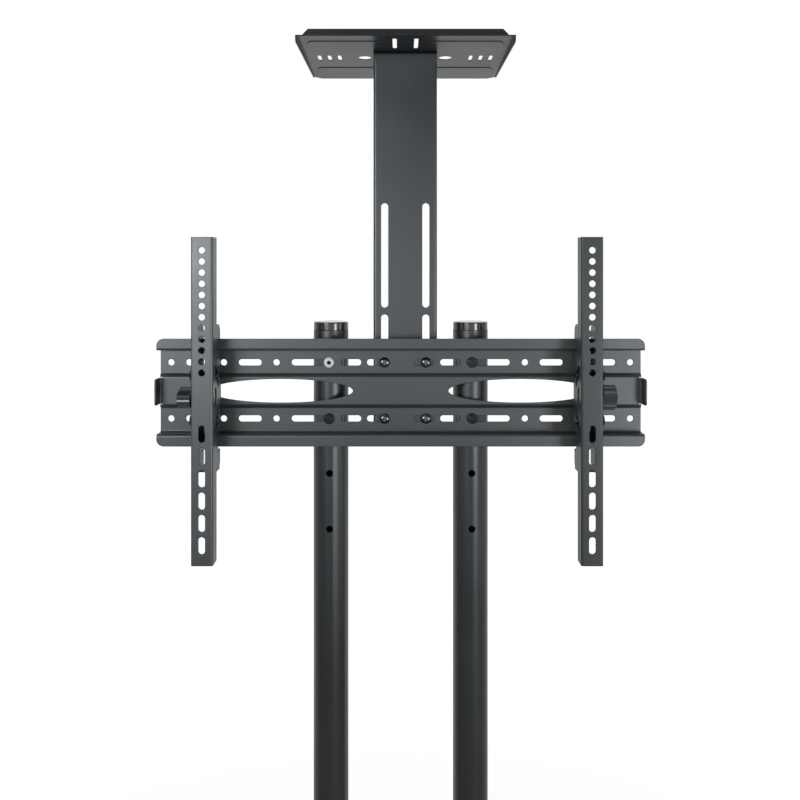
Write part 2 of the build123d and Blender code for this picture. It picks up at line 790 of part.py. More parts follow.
def make_bracket(arm_x, inner):
    """One hook bracket: two hooked side plates, the back wall that joins them and the lock tongue."""
    flange_low = flange_height - hook_clearance
    finger_bottom = flange_height + rail_sheet + hook_clearance
    behind_lip = hook_y + rail_sheet + hook_clearance
    before_lip = hook_y - hook_clearance
    front_y = web_y - bracket_front
    top_y = web_y - bracket_front_top
    bottom_y = web_y - bracket_front_bottom
    back_y = web_y - bracket_back
    rest_y = web_y - bracket_rest
    outline = [
        (top_y, bracket_top),
        (back_y, bracket_top),
        (back_y, finger_bottom),
        (behind_lip + finger_chamfer, finger_bottom),
        (behind_lip, finger_bottom + finger_chamfer),
        (behind_lip, rail_edge + lip_seat),
        (before_lip, rail_edge + lip_seat),
        (before_lip, flange_low),
        (back_y, flange_low),
        (back_y, band_edge),
        (rest_y, band_edge - bracket_sheet),
        (rest_y, bracket_sheet - band_edge),
        (back_y, -band_edge),
        (back_y, -flange_low),
        (before_lip, -flange_low),
        (before_lip, -rail_edge - 8.5),
        (back_y, -rail_edge - 5.0),
        (back_y, bracket_bottom),
        (bottom_y, bracket_bottom),
        (front_y, tilt_axis_z - bracket_front_half),
        (front_y, tilt_axis_z + bracket_front_half),
    ]
    with BuildPart() as bracket:
        for side in (-1, 1):
            with BuildSketch(Plane.YZ.offset(arm_x + side * plate_outer)):
                with BuildLine():
                    Polyline(*[(y, rail_height + z) for y, z in outline], close=True)
                make_face()
            extrude(amount=-side * bracket_sheet)
        ends = bracket.edges().filter_by(Axis.X)
        back_ends = ends.filter_by(lambda e: abs(e.center().Y - back_y) < 0.1)
        top_end = back_ends.filter_by(lambda e: e.center().Z > rail_height + bracket_top - 1)
        bottom_end = back_ends.filter_by(lambda e: e.center().Z < rail_height + bracket_bottom + 1)
        fillet(top_end + bottom_end, bracket_corner)
        with Locations((arm_x, rest_y - bracket_sheet / 2, rail_height)):
            Box(2 * plate_outer, bracket_sheet, 2 * (band_edge - bracket_sheet))
        tongue_front = bottom_y + bracket_sheet
        tongue_back = web_y - lock_tongue_back
        tongue_y = (tongue_front + tongue_back) / 2
        with Locations((arm_x, tongue_y, rail_height + bracket_bottom + bracket_sheet / 2)):
            Box(2 * plate_outer, tongue_back - tongue_front, bracket_sheet)
        with BuildSketch(Plane.XY.offset(rail_height + bracket_bottom)):
            with Locations((arm_x, web_y + lock_screw_y)):
                Circle(lock_screw_radius + thread_clearance)
        extrude(amount=bracket_sheet, mode=Mode.SUBTRACT)
        with BuildSketch(Plane.YZ.offset(arm_x)):
            for angle in (-guide_angle, guide_angle):
                with Locations(guide_place(angle)):
                    Circle(guide_shank_radius + tap_clearance)
            with Locations((clamp_y, clamp_z)):
                Circle(bolt_radius + 0.5)
        extrude(amount=arm_width, both=True, mode=Mode.SUBTRACT)
    return bracket


def make_knob(arm_x, outward, first_angle):
    """The two-lobed grip of a tilt clamp, with a domed outer end."""
    seat_x = arm_x + outward * (arm_width / 2 + flat_gap + washer_thickness)
    seat = facing(seat_x, clamp_y, clamp_z, (outward, 0, 0))
    blank = knob_radius + knob_dome / 2
    rim = knob_length - knob_dome
    dome_radius = (blank**2 + knob_dome**2) / (2 * knob_dome)
    pitch = 360 / knob_lobes
    with BuildPart() as knob:
        with BuildSketch(turned_plane(seat)):
            with BuildLine():
                Polyline((0, knob_length), (0, 0), (blank, 0), (blank, rim))
                RadiusArc((blank, rim), (0, knob_length), -dome_radius)
            make_face()
        revolve(axis=Axis(seat.origin, seat.z_dir))
        with BuildSketch(seat):
            Circle(blank + knob_dome)
            with BuildLine():
                for lobe in range(knob_lobes):
                    angle = first_angle + lobe * pitch
                    centre = polar(knob_lobe_centre, angle)
                    start = centre + polar(knob_lobe_radius, angle - 90)
                    crest = centre + polar(knob_lobe_radius, angle)
                    end = centre + polar(knob_lobe_radius, angle + 90)
                    waist = polar(knob_waist, angle + pitch / 2)
                    next_centre = polar(knob_lobe_centre, angle + pitch)
                    next_start = next_centre + polar(knob_lobe_radius, angle + pitch - 90)
                    ThreePointArc(start, crest, end)
                    ThreePointArc(end, waist, next_start)
            make_face(mode=Mode.SUBTRACT)
        extrude(amount=knob_length, mode=Mode.SUBTRACT)
        with BuildSketch(seat):
            Circle(bolt_radius + tap_clearance)
        extrude(amount=knob_length * 0.6, mode=Mode.SUBTRACT)
    return knob


for side_name, arm_x in SIDES.items():
    inner = 1 if side_name == "left" else -1
    finish(make_arm(arm_x), f"{side_name}_screen_arm")
    finish(make_bracket(arm_x, inner), f"{side_name}_hook_bracket")

    with BuildPart() as guide_bolts:
        for angle in (-guide_angle, guide_angle):
            y, z = guide_place(angle)
            seat = facing(arm_x + inner * (arm_width / 2 + flat_gap), y, z, (inner, 0, 0))
            reach = arm_width + 2 * flat_gap + nut_thickness
            draw_screw(seat, guide_shank_radius, reach, guide_head_radius, guide_head_height)
            draw_socket(seat, guide_head_height, 4.0)
    finish(guide_bolts, f"{side_name}_guide_bolts")

    with BuildPart() as guide_nuts:
        for angle in (-guide_angle, guide_angle):
            y, z = guide_place(angle)
            seat = facing(arm_x - inner * (arm_width / 2 + flat_gap), y, z, (-inner, 0, 0))
            draw_nut(seat, nut_flats, nut_thickness, guide_shank_radius + tap_clearance)
    finish(guide_nuts, f"{side_name}_guide_nuts")

    finish(make_knob(arm_x, -inner, knob_angles[side_name]), f"{side_name}_tilt_knob")

    with BuildPart() as clamp_stud:
        knob_seat = arm_width / 2 + flat_gap + washer_thickness
        seat = facing(arm_x - inner * knob_seat, clamp_y, clamp_z, (-inner, 0, 0))
        with BuildSketch(seat):
            Circle(bolt_radius)
        extrude(amount=knob_length * 0.6)
        with BuildSketch(seat):
            Circle(bolt_radius)
        extrude(amount=-(knob_seat + plate_inner))
    finish(clamp_stud, f"{side_name}_clamp_stud")

    with BuildPart() as clamp_washer:
        seat = facing(arm_x - inner * (arm_width / 2 + flat_gap), clamp_y, clamp_z, (-inner, 0, 0))
        draw_washer(seat, washer_radius + 1, washer_thickness, bolt_radius + tap_clearance)
    finish(clamp_washer, f"{side_name}_clamp_washer")

    with BuildPart() as weld_nut:
        seat = facing(arm_x + inner * plate_inner, clamp_y, clamp_z, (-inner, 0, 0))
        draw_nut(seat, nut_flats, nut_thickness, bolt_radius + thread_clearance)
    finish(weld_nut, f"{side_name}_weld_nut")

    with BuildPart() as lock_screw:
        lock_top = -rail_edge - 0.3
        head_z = bracket_bottom - 4.0
        seat = facing(arm_x, web_y + lock_screw_y, rail_height + head_z, (0, 0, -1))
        draw_screw(seat, lock_screw_radius, lock_top - head_z, lock_head_radius, lock_head_height)
        draw_socket(seat, lock_head_height, 5.0)
    finish(lock_screw, f"{side_name}_lock_screw")
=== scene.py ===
"""Finishes and studio for a display floor stand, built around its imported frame. Lengths are in metres."""
import math

import bmesh
import bpy
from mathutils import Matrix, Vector


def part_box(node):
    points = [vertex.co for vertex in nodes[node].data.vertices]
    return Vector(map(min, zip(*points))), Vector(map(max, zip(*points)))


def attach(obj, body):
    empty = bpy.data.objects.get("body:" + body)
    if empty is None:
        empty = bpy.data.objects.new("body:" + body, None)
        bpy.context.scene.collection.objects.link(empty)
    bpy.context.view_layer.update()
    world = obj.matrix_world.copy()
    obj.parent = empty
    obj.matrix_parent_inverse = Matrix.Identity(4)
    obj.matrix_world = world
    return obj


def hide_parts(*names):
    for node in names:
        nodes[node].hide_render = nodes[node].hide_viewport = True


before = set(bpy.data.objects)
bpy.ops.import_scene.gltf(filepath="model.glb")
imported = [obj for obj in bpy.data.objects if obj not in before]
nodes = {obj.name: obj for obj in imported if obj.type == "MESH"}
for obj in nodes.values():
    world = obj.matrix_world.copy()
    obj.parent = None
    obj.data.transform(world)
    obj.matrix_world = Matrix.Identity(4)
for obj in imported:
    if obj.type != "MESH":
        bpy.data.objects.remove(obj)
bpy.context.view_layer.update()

# Places on the stand
WEB_Y = 0.028
RAIL_Z = 1.365
COLUMN_Y = 0.060
COLUMN_X = 0.102
COLUMN_RADIUS = 0.0254
FOOT_PLATE_TOP = 0.054
LEG_HALF_WIDTH = 0.025
BRIGHT_BOLT_CENTRE = (-COLUMN_X, 0.0, RAIL_Z + 0.040)
SIDES = ("left", "right")
BOTH_WAYS = (-1.0, 1.0)
UPWARD = (0.0, 0.0, 1.0)
DOWNWARD = (0.0, 0.0, -1.0)
RIGHTWARD = (1.0, 0.0, 0.0)
WHITE = (1.0, 1.0, 1.0, 1.0)

# The camera: level, as high as the top of the screen arms, and shifted down to take in the columns
CAMERA_PLACE = (0.0006, WEB_Y - 1.101, RAIL_Z + 0.170)
CAMERA_SHIFT = (-0.0014, -0.1611)
SENSOR_WIDTH = 36.0
FOCAL_PIXELS = 772.7
FRAME_PIXELS = 800.0


def place_camera():
    """The photograph's viewing angle."""
    lens = bpy.data.cameras.new("photo_camera")
    lens.sensor_width = SENSOR_WIDTH
    lens.lens = SENSOR_WIDTH * FOCAL_PIXELS / FRAME_PIXELS
    lens.shift_x, lens.shift_y = CAMERA_SHIFT
    lens.clip_start = 0.05
    lens.clip_end = 60.0
    camera = bpy.data.objects.new("photo_camera", lens)
    camera.location = CAMERA_PLACE
    camera.rotation_euler = (math.radians(90.0), 0.0, 0.0)
    bpy.context.scene.collection.objects.link(camera)
    bpy.context.scene.camera = camera


# Node helpers
NOISE_RANGE = (0.3, 0.7)


def new_group(name, inputs, outputs):
    """An empty shader group with the sockets that its effect needs."""
    group = bpy.data.node_groups.new(name, "ShaderNodeTree")
    for label, kind, value in inputs:
        socket = group.interface.new_socket(label, in_out="INPUT", socket_type=kind)
        socket.default_value = value
    for label, kind in outputs:
        group.interface.new_socket(label, in_out="OUTPUT", socket_type=kind)
    source = group.nodes.new("NodeGroupInput")
    target = group.nodes.new("NodeGroupOutput")
    return group, source, target


def object_place(tree):
    """Where a point lies on the object."""
    return tree.nodes.new("ShaderNodeTexCoord").outputs["Object"]


def noise(tree, coordinates, scale_source, detail):
    """Noise over the object, with its scale taken from a socket."""
    texture = tree.nodes.new("ShaderNodeTexNoise")
    texture.inputs["Detail"].default_value = detail
    tree.links.new(coordinates, texture.inputs["Vector"])
    tree.links.new(scale_source, texture.inputs["Scale"])
    return texture.outputs["Fac"]


def span(tree, value, out, within=NOISE_RANGE):
    """Maps a value from one range to another."""
    mapped = tree.nodes.new("ShaderNodeMapRange")
    mapped.inputs["From Min"].default_value, mapped.inputs["From Max"].default_value = within
    mapped.inputs["To Min"].default_value, mapped.inputs["To Max"].default_value = out
    tree.links.new(value, mapped.inputs["Value"])
    return mapped.outputs["Result"]


def combine(tree, operation, first, second):
    """Two values multiplied or added."""
    node = tree.nodes.new("ShaderNodeMath")
    node.operation = operation
    tree.links.new(first, node.inputs[0])
    tree.links.new(second, node.inputs[1])
    return node.outputs["Value"]


def distance_from_origin(tree, vector):
    """How long a vector is."""
    node = tree.nodes.new("ShaderNodeVectorMath")
    node.operation = "LENGTH"
    tree.links.new(vector, node.inputs[0])
    return node.outputs["Value"]


def colour_mix(tree):
    """A node that mixes two colours."""
    shade = tree.nodes.new("ShaderNodeMix")
    shade.data_type = "RGBA"
    return shade


def clouded_colour(group, source, mask, levels):
    """The group's colour, a little darker or lighter from place to place."""
    shade = colour_mix(group)
    shade.blend_type = "MULTIPLY"
    shade.inputs["Factor"].default_value = 1.0
    tone = group.nodes.new("ShaderNodeCombineColor")
    level = span(group, mask, levels)
    for channel in ("Red", "Green", "Blue"):
        group.links.new(level, tone.inputs[channel])
    group.links.new(source.outputs["Colour"], shade.inputs["A"])
    group.links.new(tone.outputs["Color"], shade.inputs["B"])
    return shade.outputs["Result"]


def uneven_gloss(group, source, mask):
    """A roughness that moves between the group's two gloss values."""
    gloss = group.nodes.new("ShaderNodeMix")
    group.links.new(span(group, mask, (0.0, 1.0)), gloss.inputs["Factor"])
    group.links.new(source.outputs["Gloss Low"], gloss.inputs["A"])
    group.links.new(source.outputs["Gloss High"], gloss.inputs["B"])
    return gloss.outputs["Result"]


def softened_edge(tree, radius_source):
    """A normal that is rounded over the folded and cut edges."""
    rounded = tree.nodes.new("ShaderNodeBevel")
    rounded.samples = 4
    tree.links.new(radius_source, rounded.inputs["Radius"])
    return rounded.outputs["Normal"]


# Shared effects, each a group that puts out colours, masks, values and normals
def build_coat_group():
    """Powder coat: fine orange peel, faint cloudiness of the colour, uneven gloss and softened edges."""
    group, source, target = new_group(
        "powder_coat_skin",
        [
            ("Colour", "NodeSocketColor", (0.05, 0.05, 0.05, 1.0)),
            ("Peel Scale", "NodeSocketFloat", 900.0),
            ("Cloud Scale", "NodeSocketFloat", 9.0),
            ("Gloss Low", "NodeSocketFloat", 0.36),
            ("Gloss High", "NodeSocketFloat", 0.46),
            ("Edge Radius", "NodeSocketFloat", 0.0004),
        ],
        [
            ("Colour", "NodeSocketColor"),
            ("Roughness", "NodeSocketFloat"),
            ("Height", "NodeSocketFloat"),
            ("Normal", "NodeSocketVector"),
        ],
    )
    place = object_place(group)
    peel = noise(group, place, source.outputs["Peel Scale"], detail=3.0)
    cloud = noise(group, place, source.outputs["Cloud Scale"], detail=4.0)
    group.links.new(clouded_colour(group, source, cloud, (0.92, 1.06)), target.inputs["Colour"])
    group.links.new(uneven_gloss(group, source, cloud), target.inputs["Roughness"])
    group.links.new(peel, target.inputs["Height"])
    group.links.new(softened_edge(group, source.outputs["Edge Radius"]), target.inputs["Normal"])
    return group


def build_mould_group():
    """Moulded plastic: fine spark-eroded grain and slight gloss changes."""
    group, source, target = new_group(
        "moulded_skin",
        [
            ("Grain Scale", "NodeSocketFloat", 1600.0),
            ("Gloss Low", "NodeSocketFloat", 0.4),
            ("Gloss High", "NodeSocketFloat", 0.5),
        ],
        [
            ("Roughness", "NodeSocketFloat"),
            ("Height", "NodeSocketFloat"),
        ],
    )
    grain = noise(group, object_place(group), source.outputs["Grain Scale"], detail=2.0)
    group.links.new(uneven_gloss(group, source, grain), target.inputs["Roughness"])
    group.links.new(grain, target.inputs["Height"])
    return group


def build_metal_group():
    """Turned or plated steel: streaks and small stains."""
    group, source, target = new_group(
        "plated_skin",
        [
            ("Colour", "NodeSocketColor", (0.5, 0.5, 0.5, 1.0)),
            ("Stain Scale", "NodeSocketFloat", 260.0),
            ("Gloss Low", "NodeSocketFloat", 0.2),
            ("Gloss High", "NodeSocketFloat", 0.35),
        ],
        [
            ("Colour", "NodeSocketColor"),
            ("Roughness", "NodeSocketFloat"),
            ("Height", "NodeSocketFloat"),
        ],
    )
    stain = noise(group, object_place(group), source.outputs["Stain Scale"], detail=5.0)
    group.links.new(clouded_colour(group, source, stain, (0.8, 1.1)), target.inputs["Colour"])
    group.links.new(uneven_gloss(group, source, stain), target.inputs["Roughness"])
    group.links.new(stain, target.inputs["Height"])
    return group


def build_edge_highlight_group():
    """A mask of the folded and cut edges for a painted highlight, broken up in patches by a noise."""
    group, source, target = new_group(
        "painted_edge_highlight",
        [
            ("Edge Radius", "NodeSocketFloat", 0.0012),
            ("Patch Scale", "NodeSocketFloat", 70.0),
            ("Amount", "NodeSocketFloat", 1.0),
        ],
        [("Edge Highlight", "NodeSocketFloat")],
    )
    patches = noise(group, object_place(group), source.outputs["Patch Scale"], detail=3.0)
    surface = group.nodes.new("ShaderNodeNewGeometry")
    turn = group.nodes.new("ShaderNodeVectorMath")
    turn.operation = "DOT_PRODUCT"
    group.links.new(surface.outputs["Normal"], turn.inputs[0])
    group.links.new(softened_edge(group, source.outputs["Edge Radius"]), turn.inputs[1])
    edge = span(group, turn.outputs["Value"], (1.0, 0.0), within=(0.80, 0.98))
    broken = combine(group, "MULTIPLY", edge, span(group, patches, (0.35, 1.0)))
    edge_highlight = combine(group, "MULTIPLY", broken, source.outputs["Amount"])
    group.links.new(edge_highlight, target.inputs["Edge Highlight"])
    return group


coat_skin = build_coat_group()
edge_highlight_mask = build_edge_highlight_group()
moulded_skin = build_mould_group()
plated_skin = build_metal_group()

# Finishes
COAT_SHEEN = (0.88, 0.96, 1.0, 1.0)
# A lighter coat colour on the folded and cut edges: a painted edge highlight
EDGE_HIGHLIGHT_COLOUR = (0.050, 0.054, 0.058, 1.0)
EDGE_HIGHLIGHT_AMOUNT = 0.35
COAT_RELIEF = 0.00002
FINE_ROUNDING = 0.0004
RELIEF_STRENGTH = 0.5
CLEAR_COAT_ROUGHNESS = 0.06


def start_material(name, skin, values, depth):
    """A material with one skin group, its relief to a depth and a Principled shader."""
    material = bpy.data.materials.new(name)
    material.use_nodes = True
    tree = material.node_tree
    shader = tree.nodes["Principled BSDF"]
    group = tree.nodes.new("ShaderNodeGroup")
    group.node_tree = skin
    for label, value in values.items():
        group.inputs[label].default_value = value
    bump = tree.nodes.new("ShaderNodeBump")
    bump.inputs["Strength"].default_value = RELIEF_STRENGTH
    bump.inputs["Distance"].default_value = depth
    tree.links.new(group.outputs["Height"], bump.inputs["Height"])
    tree.links.new(bump.outputs["Normal"], shader.inputs["Normal"])
    tree.links.new(group.outputs["Roughness"], shader.inputs["Roughness"])
    return material, shader, group, bump


def powder_coat(name, colour, gloss, shine, rounding=FINE_ROUNDING):
    """Black powder coat with a painted highlight on its folded and cut edges; the shine is its specular
    level.
    """
    values = {
        "Colour": (*colour, 1.0),
        "Gloss Low": gloss[0],
        "Gloss High": gloss[1],
        "Edge Radius": rounding,
    }
    material, shader, group, bump = start_material(name, coat_skin, values, COAT_RELIEF)
    tree = material.node_tree
    # A painted highlight lightens the coat on its folded and cut edges
    highlit = tree.nodes.new("ShaderNodeGroup")
    highlit.node_tree = edge_highlight_mask
    highlit.inputs["Amount"].default_value = EDGE_HIGHLIGHT_AMOUNT
    shade = colour_mix(tree)
    shade.inputs["B"].default_value = EDGE_HIGHLIGHT_COLOUR
    tree.links.new(highlit.outputs["Edge Highlight"], shade.inputs["Factor"])
    tree.links.new(group.outputs["Colour"], shade.inputs["A"])
    tree.links.new(shade.outputs["Result"], shader.inputs["Base Color"])
    tree.links.new(group.outputs["Normal"], bump.inputs["Normal"])
    shader.inputs["Specular Tint"].default_value = COAT_SHEEN
    shader.inputs["Specular IOR Level"].default_value = shine
    return material


def moulded(name, colour, gloss, grain=1600.0, depth=0.00002, clear_coat=0.0):
    """Moulded plastic or rubber of one colour."""
    values = {
        "Grain Scale": grain,
        "Gloss Low": gloss[0],
        "Gloss High": gloss[1],
    }
    material, shader, _, _ = start_material(name, moulded_skin, values, depth)
    shader.inputs["Base Color"].default_value = (*colour, 1.0)
    shader.inputs["Coat Weight"].default_value = clear_coat
    shader.inputs["Coat Roughness"].default_value = CLEAR_COAT_ROUGHNESS
    return material


def plated(name, colour, gloss, depth=0.00001):
    """Bare, plated or blackened steel."""
    values = {
        "Colour": (*colour, 1.0),
        "Gloss Low": gloss[0],
        "Gloss High": gloss[1],
    }
    material, shader, group, _ = start_material(name, plated_skin, values, depth)
    material.node_tree.links.new(group.outputs["Colour"], shader.inputs["Base Color"])
    shader.inputs["Metallic"].default_value = 1.0
    return material


# Distances from the bright bolt's axis over which the painted shade in its socket ends and the painted
# shadow at its flange's edge falls
SOCKET_SHADE_SPAN = (0.0027, 0.0033)
FLANGE_SHADOW_SPAN = (0.0070, 0.0076)
FLANGE_SHADOW_LEVEL = 0.15
SOCKET_SHADE_COLOUR = (0.010, 0.010, 0.011, 1.0)


def paint_socket_shade(material, centre):
    """Paints shade into the plating of a bolt that looks along Y inside its socket, and a painted shadow
    around its flange's edge.
    """
    tree = material.node_tree
    shader = tree.nodes["Principled BSDF"]
    plated_colour = shader.inputs["Base Color"].links[0].from_socket
    offset = tree.nodes.new("ShaderNodeVectorMath")
    offset.operation = "SUBTRACT"
    offset.inputs[1].default_value = centre
    tree.links.new(object_place(tree), offset.inputs[0])
    flat = tree.nodes.new("ShaderNodeVectorMath")
    flat.operation = "MULTIPLY"
    flat.inputs[1].default_value = (1.0, 0.0, 1.0)
    tree.links.new(offset.outputs["Vector"], flat.inputs[0])
    reach = distance_from_origin(tree, flat.outputs["Vector"])
    past_socket = span(tree, reach, (0.0, 1.0), within=SOCKET_SHADE_SPAN)
    before_edge = span(tree, reach, (1.0, FLANGE_SHADOW_LEVEL), within=FLANGE_SHADOW_SPAN)
    shade = colour_mix(tree)
    shade.inputs["A"].default_value = SOCKET_SHADE_COLOUR
    tree.links.new(combine(tree, "MULTIPLY", past_socket, before_edge), shade.inputs["Factor"])
    tree.links.new(plated_colour, shade.inputs["B"])
    tree.links.new(shade.outputs["Result"], shader.inputs["Base Color"])


rail_coat = powder_coat(
    "rail_powder_coat",
    (0.018, 0.020, 0.021),
    gloss=(0.36, 0.44),
    shine=0.9,
    rounding=0.0013,
)
# The two arms wear lit and shaded copies of one coat: the right arm's copy has half the shine, a painted
# shade that keeps it darker than the left arm as the light falls
left_arm_lit_coat = powder_coat(
    "left_arm_lit_powder_coat",
    (0.020, 0.022, 0.023),
    gloss=(0.34, 0.42),
    shine=1.0,
    rounding=0.0016,
)
right_arm_shaded_coat = powder_coat(
    "right_arm_shaded_powder_coat",
    (0.021, 0.023, 0.024),
    gloss=(0.36, 0.44),
    shine=0.5,
    rounding=0.0016,
)
post_coat = powder_coat("post_powder_coat", (0.015, 0.017, 0.019), gloss=(0.32, 0.40), shine=0.9)
shelf_coat = powder_coat("shelf_powder_coat", (0.010, 0.011, 0.013), gloss=(0.28, 0.36), shine=0.45)
column_coat = powder_coat("column_powder_coat", (0.007, 0.0073, 0.008), gloss=(0.32, 0.40), shine=0.75)
base_coat = powder_coat("base_powder_coat", (0.018, 0.019, 0.020), gloss=(0.36, 0.44), shine=0.8)
bracket_coat = powder_coat("bracket_powder_coat", (0.016, 0.017, 0.019), gloss=(0.36, 0.44), shine=0.8)
cap_gloss = moulded("cap_gloss_plastic", (0.014, 0.014, 0.015), gloss=(0.16, 0.22), clear_coat=0.4)
cap_plastic = moulded("leg_cap_plastic", (0.020, 0.020, 0.021), gloss=(0.45, 0.55), depth=0.00004)
knob_plastic = moulded("knob_plastic", (0.026, 0.027, 0.030), gloss=(0.17, 0.25), clear_coat=0.2)
pad_rubber = moulded("pad_rubber", (0.022, 0.022, 0.022), gloss=(0.75, 0.85), grain=900.0, depth=0.00006)
black_steel = plated("black_oxide_steel", (0.055, 0.055, 0.060), gloss=(0.26, 0.38))
post_screw_steel = plated("polished_dark_steel", (0.11, 0.12, 0.13), gloss=(0.04, 0.07), depth=0.000004)
column_bolt_steel = plated("column_bolt_steel", (0.033, 0.035, 0.038), gloss=(0.10, 0.16), depth=0.000006)
bright_zinc = plated("bright_zinc_plate", (0.45, 0.48, 0.51), gloss=(0.30, 0.42))
zinc_thread = plated("zinc_thread_steel", (0.30, 0.30, 0.31), gloss=(0.28, 0.40))
# The bright bolt gets painted shade in its socket and a painted shadow round its flange's edge
paint_socket_shade(bright_zinc, BRIGHT_BOLT_CENTRE)

FINISHES = {
    "mounting_rail": rail_coat,
    "column_saddles": column_coat,
    "camera_post": post_coat,
    "camera_shelf": shelf_coat,
    "left_column": column_coat,
    "right_column": column_coat,
    "left_column_cap": cap_gloss,
    "right_column_cap": cap_gloss,
    "base_beam": base_coat,
    "left_leg": base_coat,
    "right_leg": base_coat,
    "leg_end_caps": cap_plastic,
    "foot_pads": pad_rubber,
    "bright_column_bolt": bright_zinc,
    "column_bolts": column_bolt_steel,
    "post_screws": post_screw_steel,
    "left_screen_arm": left_arm_lit_coat,
    "right_screen_arm": right_arm_shaded_coat,
    "left_hook_bracket": bracket_coat,
    "right_hook_bracket": bracket_coat,
    "left_tilt_knob": knob_plastic,
    "right_tilt_knob": knob_plastic,
}


def finish_nodes():
    """Gives every node of the frame its finish: bolts, nuts and washers are black steel unless named."""
    for name, node in nodes.items():
        material = FINISHES.get(name, black_steel)
        node.data.materials.clear()
        node.data.materials.append(material)


# Shape helpers for turned, threaded and moulded details
def turned_place(origin, direction):
    """Where a turned piece starts, two directions across it and the one along it."""
    along = Vector(direction).normalized()
    across = along.orthogonal().normalized()
    return Vector(origin), across, along.cross(across), along


def ring_of(place, distances, height):
    """Points around an axis, each at its own distance from it."""
    origin, across, beside, along = place
    points = []
    for turn, distance in enumerate(distances):
        angle = 2.0 * math.pi * turn / len(distances)
        spoke = across * math.cos(angle) + beside * math.sin(angle)
        points.append(origin + along * height + spoke * distance)
    return points


def join_rings(shape, lower, upper):
    """A band of faces between two rings with as many points."""
    for turn in range(len(lower)):
        following = (turn + 1) % len(lower)
        shape.faces.new((lower[turn], lower[following], upper[following], upper[turn]))


def skin_loops(shape, loops):
    """Joins loops of points one after another and closes the first and the last."""
    rings = [[shape.verts.new(point) for point in loop] for loop in loops]
    for lower, upper in zip(rings, rings[1:]):
        join_rings(shape, lower, upper)
    shape.faces.new(list(reversed(rings[0])))
    shape.faces.new(rings[-1])


def turn_profile(shape, place, profile, turns):
    """Turns a profile of (radius, height) pairs about an axis."""
    skin_loops(shape, [ring_of(place, [radius] * turns, height) for radius, height in profile])


def hexagon(flats, turns):
    """Distances from the axis to a hexagon's sides."""
    sixth = math.pi / 3.0
    return [
        flats / 2.0 / math.cos((2.0 * math.pi * turn / turns + sixth / 2.0) % sixth - sixth / 2.0)
        for turn in range(turns)
    ]


THREAD_TURNS = 24
THREAD_ROWS_A_PITCH = 6
THREAD_DEPTH_SHARE = 0.54


def cut_thread(place, start, end, radius, pitch):
    """Loops of a threaded length: the ridge climbs one pitch a turn."""
    depth = THREAD_DEPTH_SHARE * pitch
    rows = round((end - start) / pitch * THREAD_ROWS_A_PITCH)
    loops = []
    for row in range(rows + 1):
        height = start + (end - start) * row / rows
        distances = []
        for turn in range(THREAD_TURNS):
            phase = (height / pitch - turn / THREAD_TURNS) % 1.0
            distances.append(radius - depth * abs(2.0 * phase - 1.0))
        loops.append(ring_of(place, distances, height))
    return loops


def rounded_outline(half_width, half_height, corner, steps=8):
    """Points around a rectangle with round corners."""
    points = []
    for quarter, (right, top) in enumerate(((1, 1), (-1, 1), (-1, -1), (1, -1))):
        for step in range(steps + 1):
            angle = math.radians(90.0 * quarter + 90.0 * step / steps)
            across = right * (half_width - corner) + corner * math.cos(angle)
            up = top * (half_height - corner) + corner * math.sin(angle)
            points.append((across, up))
    return points


def add_piece(name, shape, body, finish, smooth_limit=40.0):
    """Turns a shape into a piece with its finish, riding on its body; edges over the limit stay sharp."""
    bmesh.ops.recalc_face_normals(shape, faces=shape.faces)
    mesh = bpy.data.meshes.new(name)
    shape.to_mesh(mesh)
    shape.free()
    mesh.materials.append(finish)
    mesh.shade_smooth()
    mesh.set_sharp_from_angle(angle=math.radians(smooth_limit))
    piece = bpy.data.objects.new(name, mesh)
    bpy.context.scene.collection.objects.link(piece)
    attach(piece, body)
    return piece


def node_box(node):
    """A node's lowest and highest corners at rest."""
    low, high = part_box(node)
    return Vector(low), Vector(high)


# The weld bead around each column, on its foot plate
WELD_SIZE = 0.0038
WELD_CROWN = 0.93
WELD_STEPS = 288
WELD_RIPPLES = 62
WELD_RIPPLE_SHARE = 0.10
WELD_WAVES = 5
WELD_WAVE_SHARE = 0.04
WELD_SINK_IN_COLUMN = 0.0004
WELD_SINK_IN_PLATE = 0.0002


def weld_outline(angle):
    """The bead's section at an angle round the column: out from its face and up from its plate."""
    ripple = WELD_RIPPLE_SHARE * abs(math.sin(angle * WELD_RIPPLES / 2.0))
    unevenness = WELD_WAVE_SHARE * math.sin(WELD_WAVES * angle)
    swell = WELD_SIZE * (1.0 - WELD_RIPPLE_SHARE + ripple + unevenness)
    outline = [
        (-WELD_SINK_IN_COLUMN, swell),
        (-WELD_SINK_IN_COLUMN, -WELD_SINK_IN_PLATE),
        (swell, -WELD_SINK_IN_PLATE),
    ]
    for part in range(7):
        lift = math.radians(15.0 * part)
        outline.append((swell * math.cos(lift) * WELD_CROWN, swell * math.sin(lift) * WELD_CROWN))
    return outline


def make_column_welds():
    """A rippled fillet of weld around each column."""
    shape = bmesh.new()
    for side in BOTH_WAYS:
        rings = []
        for step in range(WELD_STEPS):
            angle = 2.0 * math.pi * step / WELD_STEPS
            ring = []
            for out, up in weld_outline(angle):
                reach = COLUMN_RADIUS + out
                x = side * COLUMN_X + reach * math.cos(angle)
                y = COLUMN_Y + reach * math.sin(angle)
                ring.append(shape.verts.new((x, y, FOOT_PLATE_TOP + up)))
            rings.append(ring)
        for step in range(WELD_STEPS):
            join_rings(shape, rings[step], rings[(step + 1) % WELD_STEPS])
    add_piece("column_foot_welds", shape, "floor_stand", column_coat, smooth_limit=60.0)


